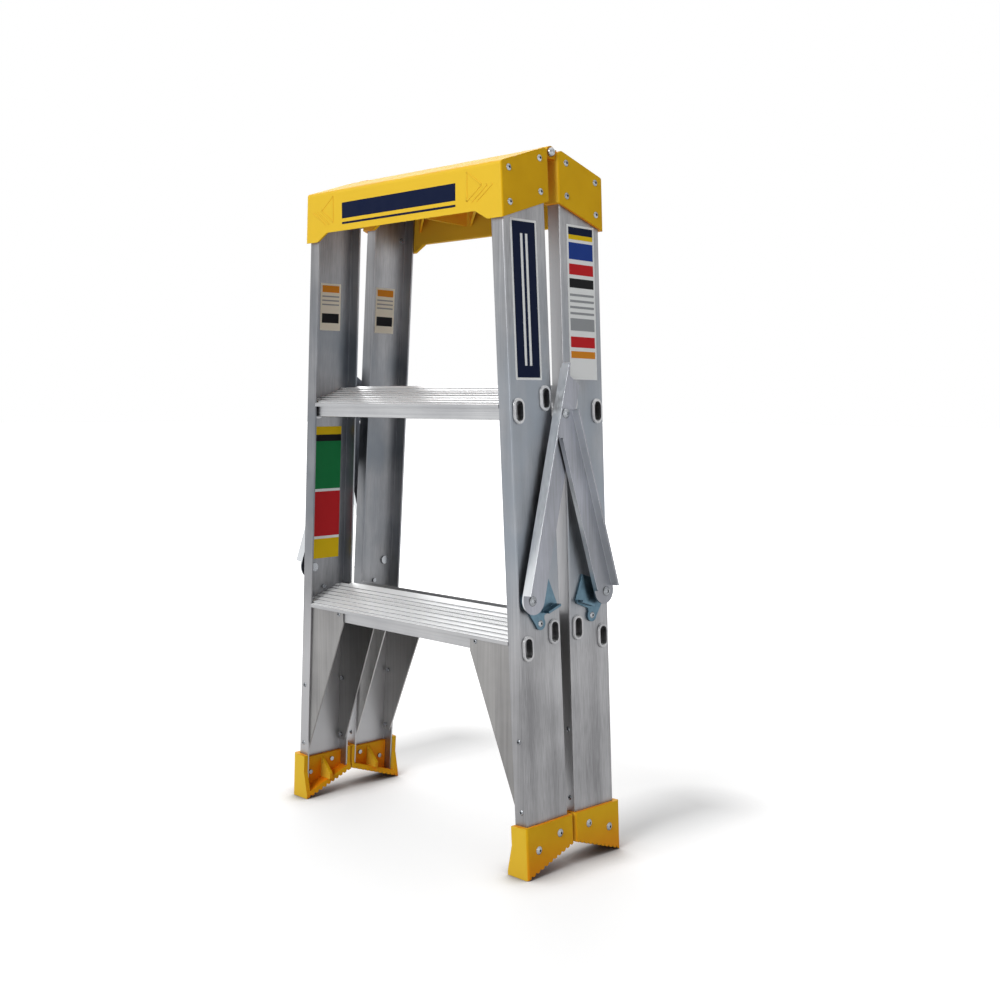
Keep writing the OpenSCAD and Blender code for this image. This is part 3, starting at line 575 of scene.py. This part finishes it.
# %% Teeth across two ribs of each tread
# Step number and teeth along one rib
LEVELS = {"lower": (1, 128), "upper": (2, 117)}
TOOTH_PITCH = 3 * MM
RIB_PITCH = 10 * MM
RIBS_WITH_TEETH = 2
TOOTH = (1.4 * MM, 4.4 * MM, 0.4 * MM)
# Middle of the toothed ribs behind the nosing, and height of a rib
TEETH_MIDDLE = 42.5 * MM
RIB_TOP = 1.2 * MM
ON_RIBS = Matrix.Translation((0, TEETH_MIDDLE, RIB_TOP))
teeth = {
    step: baked_rows({
        "Count X": count, "Count Y": RIBS_WITH_TEETH, "Pitch X": TOOTH_PITCH, "Pitch Y": RIB_PITCH,
        "Block": TOOTH, "Material": tread_metal[level],
    })
    for level, (step, count) in LEVELS.items()
}
for half in HALVES:
    parts = [(mesh, tread_frame(half, step) @ ON_RIBS) for step, mesh in teeth.items()]
    piece_of(f"{half}_grip_teeth", f"{half}_frame", parts)

# %% [markdown]
# ## Raised lines
# The mould leaves an arrow and two slanted lines at both ends of each apron, less than 1 mm high.
# They could be relief in the material, but bars catch the light at their edges from every side. The
# same tree makes a bar, as a grid of one block, and a matrix lays it between the line's two ends.

# %% Raised lines at the ends of the aprons
LINE_W = 2.2 * MM
LINE_H = 0.8 * MM
# Ends of each line in millimetres, out from the middle of the apron and up from the floor
LINES = [
    ((139, 857), (139, 893)), ((139, 893), (166, 875)), ((166, 875), (139, 857)),
    ((148, 855), (176, 874)), ((157, 855), (186, 874)),
]
UPRIGHT = Matrix.Rotation(math.radians(90), 4, "X")


def raised_line(start, end):
    """One bar along X, with the matrix that lays it between two points of the apron."""
    a, b = (Vector(point) * MM for point in (start, end))
    along = b - a
    bar = baked_rows({
        "Count X": 1, "Count Y": 1, "Pitch X": LINE_W, "Pitch Y": LINE_W,
        "Block": (along.length, LINE_W, LINE_H), "Material": yellow,
    })
    middle = (a + b) / 2
    place = Matrix.Translation((middle.x, APRON_Y, middle.y))
    slant = Matrix.Rotation(-math.atan2(along.y, along.x), 4, "Y")
    return bar, place @ slant @ UPRIGHT


lines = [raised_line(*ends) for ends in LINES]
for half in HALVES:
    parts = [
        (bar, half_frame(half) @ end @ place)
        for bar, place in lines for end in (MIRROR_X, Matrix.Identity(4))
    ]
    piece_of(f"{half}_apron_marks", f"{half}_frame", parts)

# %% [markdown]
# ## Coloured panels
# The stiles and aprons carry panels of thin film in plain fields of colour. They could be painted
# into a texture. As thin boxes in layers they have clean edges from any distance, and no picture is
# needed. A field is given by its corners on the face, in millimetres, its layer and its ink.

# %% Fields of film
FILM = 0.12 * MM
LIFT = 0.05 * MM


def panel_mesh(name, fields):
    """Thin boxes in the Y-Z plane, rising along X by one film for each layer."""
    shape = bmesh.new()
    used = []
    for y0, z0, y1, z1, layer, ink in fields:
        if inks[ink] not in used:
            used.append(inks[ink])
        low = Vector((LIFT, y0 * MM, z0 * MM))
        high = Vector((LIFT + FILM * (layer + 1), y1 * MM, z1 * MM))
        box = Matrix.Translation((low + high) / 2) @ Matrix.Diagonal((*(high - low), 1))
        made = bmesh.ops.create_cube(shape, size=1, matrix=box)
        for face in {f for v in made["verts"] for f in v.link_faces}:
            face.material_index = used.index(inks[ink])
    mesh = bpy.data.meshes.new(name)
    shape.to_mesh(mesh)
    shape.free()
    for ink in used:
        mesh.materials.append(ink)
    return mesh


def stacked(y0, y1, top, bands):
    """Fields of the second layer from the top down, as (height, ink), where no ink leaves a gap."""
    fields = []
    for height, ink in bands:
        if ink:
            fields.append((y0, top - height, y1, top, 1, ink))
        top -= height
    return fields


print("film", FILM / MM, "mm thick")

# %% Layout of the panels
# Tall panel on the front right stile: a dark field in a white border with two pale stripes
tall = [(-79, 632, -32, 834, 0, "white"), (-76, 635, -35, 831, 1, "navy")]
tall += [(-62, 650, -58, 816, 2, "white"), (-53, 650, -49, 816, 2, "white")]
# Panel on the rear right stile: coloured bands on white
bands = [(-80, 634, -27, 836, 0, "white")] + stacked(-77, -30, 833, [
    (10, "navy"), (6, "yellow"), (4, None), (22, "blue"), (6, None), (14, "red"), (5, None),
    (12, "black"), (8, None), *[(3, "grey"), (5, None)] * 4,
    (16, "grey"), (8, None), (14, "red"), (5, None), (9, "orange"),
])
# Small panel inside each left stile, and a long one below it in front
small = [(-72, 709, -35, 778, 0, "cream")] + stacked(-69, -38, 775, [
    (10, "orange"), (5, None), *[(2, "grey"), (4, None)] * 2, (2, "grey"), (12, None), (14, "black"),
])
guide = [(-80, 366, -28, 566, 0, "white")] + stacked(-80, -28, 566, [
    (12, "yellow"), (10, "black"), (72, "green"), (4, "white"), (68, "red"), (4, "white"),
    (30, "yellow"),
])
# Plain bar with a thin line below it on each apron
apron_bar = [(-118, 860, 118, 882, 0, "navy"), (-118, 852, 118, 855, 0, "navy")]
print("fields:", [len(panel) for panel in (tall, bands, small, guide, apron_bar)])

# %% Panels on the stiles and aprons
WEB = 2.5 * MM
INSIDE = Matrix.Translation((-WEB, 0, 0)) @ MIRROR_X
ON_APRON = Matrix.Translation((0, APRON_Y, 0)) @ Matrix.Rotation(math.radians(-90), 4, "Z")
piece_of("front_panels", "front_frame", [
    (panel_mesh("tall panel", tall), web_frame("front", "right")),
    (panel_mesh("small panel", small), web_frame("front", "left") @ INSIDE),
    (panel_mesh("guide panel", guide), web_frame("front", "left") @ INSIDE),
    (panel_mesh("apron bar", apron_bar), half_frame("front") @ ON_APRON),
])
piece_of("rear_panels", "rear_frame", [
    (panel_mesh("band panel", bands), web_frame("rear", "right")),
    (panel_mesh("small rear panel", small), web_frame("rear", "left") @ INSIDE),
    (panel_mesh("rear apron bar", apron_bar), half_frame("rear") @ ON_APRON),
])

# %% [markdown]
# ## White surroundings
# The ladder stands in front of plain white. A strong world could give that, but it would bleach the
# ladder too. So the world shows white only to rays from the camera, a mirror or glass, and lights
# the ladder at a plain level.

# %% World
WHITE = (1, 1, 1, 1)
WORLD_SEEN = 1.0
WORLD_AS_LIGHT = 0.32


def seen_rays(tree):
    """1 for rays from the camera, a mirror or glass, and 0 for all others."""
    path = add(tree, "ShaderNodeLightPath").outputs
    seen = (path["Is Camera Ray"], path["Is Glossy Ray"])
    seen = add(tree, "ShaderNodeMath", seen, operation="MAXIMUM").outputs["Value"]
    seen = (seen, path["Is Transmission Ray"])
    return add(tree, "ShaderNodeMath", seen, operation="MAXIMUM").outputs["Value"]


def white_world():
    """World that shows white and lights the scene more softly."""
    world = bpy.data.worlds.new("studio")
    bpy.context.scene.world = world
    world.use_nodes = True
    tree = world.node_tree
    strength = add(tree, "ShaderNodeMapRange", (seen_rays(tree), 0, 1, WORLD_AS_LIGHT, WORLD_SEEN))
    background = tree.nodes["Background"].inputs
    tree.links.new(strength.outputs["Result"], background["Strength"])
    background["Color"].default_value = WHITE


white_world()
print("world strength as a light:", WORLD_AS_LIGHT)

# %% [markdown]
# ## Floor
# The floor is white and takes a soft shadow. Stronger lamps could make it white, but they would take
# the shadow away. So it glows a little to the rays that should see white, more so far from the feet.
# The glow ends where something stands close above the floor, which keeps the dark line under the
# feet in any pose, and there the floor is also painted darker as a painted contact shadow. The glow
# is weak where the shadow falls at rest, a painted shadow that stays in that place in every pose.

# %% Distance on the floor
# Middle and half size, in metres, of the feet on one side and of the painted soft shadow behind them
FEET = ((0.24, 0, 0), (0.014, 0.086, 0))
BEHIND = ((0.2725, 0.22, 0), (0.005, 0.1, 0))
# The shadows fall a little to the left, and the painted shadow leans with them
BEHIND_LEFT = 0.0575


def away_from(tree, box, left=0.0):
    """Distance on the floor from a box that stands on both sides of the ladder."""
    middle, half_size = box
    place = add(tree, "ShaderNodeTexCoord").outputs["Object"]
    place = add(tree, "ShaderNodeSeparateXYZ", (place,)).outputs
    across = add(tree, "ShaderNodeMath", (place["X"], left), operation="ADD").outputs["Value"]
    across = add(tree, "ShaderNodeMath", (across,), operation="ABSOLUTE").outputs["Value"]
    apart = add(tree, "ShaderNodeCombineXYZ", (across, place["Y"])).outputs["Vector"]
    # From the box's middle, then from its sides, and nothing inside it
    for operation, amount in (
        ("SUBTRACT", middle), ("ABSOLUTE", (0, 0, 0)), ("SUBTRACT", half_size), ("MAXIMUM", (0, 0, 0)),
    ):
        apart = add(tree, "ShaderNodeVectorMath", (apart, amount), operation=operation).outputs["Vector"]
    return add(tree, "ShaderNodeVectorMath", (apart,), operation="LENGTH").outputs["Value"]


print("shadow behind the feet:", 2 * BEHIND[1][1], "m long")

# %% Floor
FLOOR_HALF = 30.0
FLOOR_ROUGH = 0.9
# How near, in metres, a foot darkens the floor as a painted contact shadow, and the shares of open sky
# from dark to light
CONTACT_REACH = 0.065
CONTACT_SKY = (0.35, 0.9)
CONTACT_SAMPLES = 16
# Glow by open sky near the feet, by distance in metres far away, and its share in the painted shadow
GLOW_SKY = (0.5, 0.98)
NEAR_GLOW = 0.42
FAR = (0.3, 2.5)
FAR_GLOW = 0.8
SHADOW_FADES = (0.0, 0.11)
SHADOW_GLOW = 0.25


def floor_paint():
    """White floor that takes the shadow near the ladder, with a painted contact shadow under the feet and
    a painted shadow behind them, and fades to white away from it.
    """
    made, tree, shader = surface("white studio floor", "#d4d4d4", 0.0, FLOOR_ROUGH)
    reach = {"Distance": CONTACT_REACH}
    sky = add(tree, "ShaderNodeAmbientOcclusion", reach, samples=CONTACT_SAMPLES).outputs["AO"]
    contact = add(tree, "ShaderNodeMapRange", (sky, *CONTACT_SKY, 1.0, 0.0)).outputs["Result"]
    # Painted contact shadow: a darker grey where little open sky is left above the floor
    coat(made, contact, "#7c7c7c")
    near = add(tree, "ShaderNodeMapRange", (sky, *GLOW_SKY, 0.0, NEAR_GLOW)).outputs["Result"]
    far = (away_from(tree, FEET), *FAR, 0.0, FAR_GLOW)
    far = add(tree, "ShaderNodeMapRange", far).outputs["Result"]
    # Painted shadow: less glow in a strip behind the feet where they stand at rest
    behind = (away_from(tree, BEHIND, BEHIND_LEFT), *SHADOW_FADES, SHADOW_GLOW, 1.0)
    behind = add(tree, "ShaderNodeMapRange", behind).outputs["Result"]
    glow = add(tree, "ShaderNodeMath", (near, far), operation="ADD").outputs["Value"]
    for share in (behind, seen_rays(tree)):
        glow = add(tree, "ShaderNodeMath", (glow, share), operation="MULTIPLY").outputs["Value"]
    shader.inputs["Emission Color"].default_value = WHITE
    tree.links.new(glow, shader.inputs["Emission Strength"])
    return made


def white_floor():
    """One large square at the height of the soles."""
    mesh = bpy.data.meshes.new("floor")
    r = FLOOR_HALF
    mesh.from_pydata([(-r, -r, 0), (r, -r, 0), (r, r, 0), (-r, r, 0)], [], [(0, 1, 2, 3)])
    mesh.materials.append(floor_paint())
    floor = bpy.data.objects.new("floor", mesh)
    bpy.context.scene.collection.objects.link(floor)


white_floor()
print("floor:", 2 * FLOOR_HALF, "m wide")

# %% [markdown]
# ## Lamps
# The light is that of a small studio: a soft key lamp high in front, to the left of the camera, a
# weak fill on its right, a wide lamp above and one behind on the left that brightens the edges. A
# sun or points could light the ladder as brightly. Area lamps were chosen, because their size gives
# the shadows soft edges.

# %% Lamps
LIT_POINT = (0, 0, 0.45)
# Place in metres, size in metres and power in watts
LAMPS = {
    "key": ((0.4, -2.7, 2.1), 1.3, 62),
    "fill": ((2.6, 0.1, 1.0), 1.4, 3),
    "top": ((0.0, 0.0, 3.0), 3.0, 22),
    "rim": ((-1.9, 1.4, 1.8), 2.2, 34),
}


def lamp(name, place, size, watts):
    """Square soft lamp that faces the ladder."""
    data = bpy.data.lights.new(name, "AREA")
    data.size = size
    data.energy = watts
    made = bpy.data.objects.new(name, data)
    made.location = place
    made.rotation_euler = (Vector(LIT_POINT) - Vector(place)).to_track_quat("-Z", "Y").to_euler()
    bpy.context.scene.collection.objects.link(made)


for name, settings in LAMPS.items():
    lamp(name, *settings)
print("lamps:", len(bpy.data.lights))

# %% [markdown]
# ## Camera
# The camera stands where the photo was taken from, so that render and photo can be laid over each
# other. It could be moved by eye until they agree. A fit to the corners of caps, treads and feet
# gave its place, its turn and its lens together, which is closer than the eye gets.

# %% Camera as in the photo
CAMERA_PLACE = (1.3525, -1.2281, 0.6021)
AZIMUTH = math.radians(45.42)
ELEVATION = math.radians(4.33)
ROLL = math.radians(0.34)
SENSOR_MM = 36
LENS_MM = 46.43


def photo_camera():
    """Camera at the place, turn and lens that the photo was fitted with."""
    level = math.cos(ELEVATION)
    back = Vector((math.sin(AZIMUTH) * level, -math.cos(AZIMUTH) * level, math.sin(ELEVATION)))
    right = Vector((math.cos(AZIMUTH), math.sin(AZIMUTH), 0))
    up = back.cross(right)
    across = math.cos(ROLL) * right + math.sin(ROLL) * up
    upward = -math.sin(ROLL) * right + math.cos(ROLL) * up
    data = bpy.data.cameras.new("photo camera")
    data.sensor_width = SENSOR_MM
    data.lens = LENS_MM
    data.dof.use_dof = False
    made = bpy.data.objects.new("photo camera", data)
    turn = Matrix((across, upward, back)).transposed().to_4x4()
    made.matrix_world = Matrix.Translation(CAMERA_PLACE) @ turn
    bpy.context.scene.collection.objects.link(made)
    bpy.context.scene.camera = made


photo_camera()
bpy.context.scene.view_settings.view_transform = "Standard"
print("camera at", CAMERA_PLACE, "with a lens of", LENS_MM, "mm")
